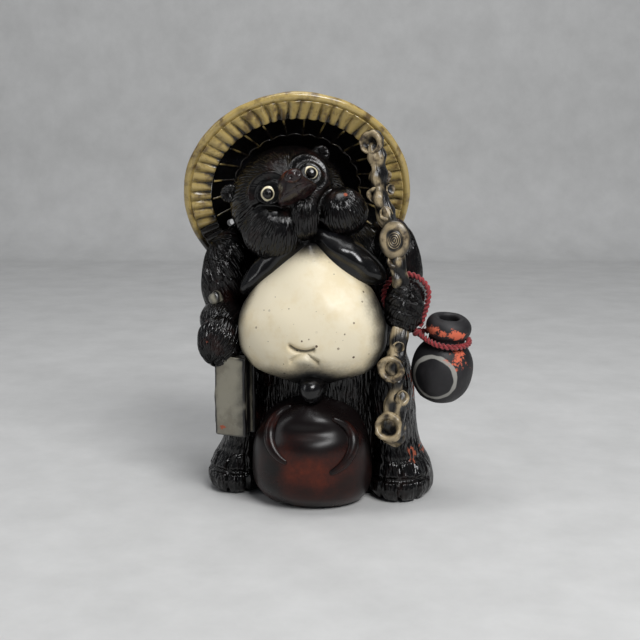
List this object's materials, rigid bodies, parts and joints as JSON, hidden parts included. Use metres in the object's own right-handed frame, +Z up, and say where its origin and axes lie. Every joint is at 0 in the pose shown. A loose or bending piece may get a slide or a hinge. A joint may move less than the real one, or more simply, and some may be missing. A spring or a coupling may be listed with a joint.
{
  "type": "tanuki statue",
  "caption": "Standing glazed stoneware raccoon dog in a straw hat, holding an account book and a knotty staff, with a flask that swings by a cord from its wrist.",
  "frame": {"origin": "on the floor under the body, in the middle of its width, 20 mm before the seam of the two body halves", "axes": "+Z up; the figure faces -Y; +X is the figure's own left, where the staff and the flask are"},
  "size_m": [0.224, 0.1824, 0.3023],
  "materials": {
    "black_glaze": "gloss",
    "cream_glaze": "gloss",
    "gold_glaze": "satin",
    "brown_glaze": "gloss",
    "staff_glaze": "satin",
    "book_glaze": "satin",
    "eye_glaze": "gloss",
    "bare_clay": "matte",
    "flask_slip": "matte",
    "cord_red": "matte"
  },
  "bodies": {
    "statue": {"torso_front": "black_glaze", "torso_back": "black_glaze", "base_slab": "bare_clay", "belly": "cream_glaze", "money_bag": "brown_glaze", "bag_knob": "black_glaze", "bag_ridge_left": "brown_glaze", "bag_ridge_right": "brown_glaze", "left_foot": "black_glaze", "right_foot": "black_glaze", "tail": "black_glaze", "hat_crown": "black_glaze", "hat_brim": "gold_glaze", "hat_rim": "gold_glaze", "head": "black_glaze", "muzzle": "brown_glaze", "nose": "brown_glaze", "jaw": "black_glaze", "right_cheek": "black_glaze", "left_cheek": "black_glaze", "right_ear": "black_glaze", "left_ear": "black_glaze", "right_eye": "eye_glaze", "left_eye": "eye_glaze", "right_pupil": "black_glaze", "left_pupil": "black_glaze", "left_collar": "black_glaze", "right_collar": "black_glaze", "right_arm": "black_glaze", "right_hand": "black_glaze", "left_arm": "black_glaze", "left_hand": "black_glaze", "passbook": "book_glaze", "passbook_pages": "book_glaze", "passbook_toggle": "staff_glaze", "staff_upper": "staff_glaze", "staff_lower": "staff_glaze", "staff_medallion": "staff_glaze"},
    "cord": {"wrist_cord": "cord_red"},
    "noose": {"neck_noose": "cord_red", "noose_knot": "cord_red"},
    "flask": {"flask": "flask_slip"}
  },
  "joints": [
    {"name": "flask_swing", "type": "hinge", "parent": "statue", "child": "cord", "pos_m": [0.067, -0.018, 0.153], "axis": [0, -1, 0], "range_deg": [0, 60]},
    {"name": "flask_sway", "type": "hinge", "parent": "cord", "child": "noose", "pos_m": [0.07554, -0.018, 0.12687], "axis": [1, 0, 0], "range_deg": [-18, 18]},
    {"name": "flask_turn", "type": "hinge", "parent": "noose", "child": "flask", "pos_m": [0.09091, -0.01204, 0.07807], "axis": [0.1369, -0.1805, 0.974], "continuous": true}
  ]
}
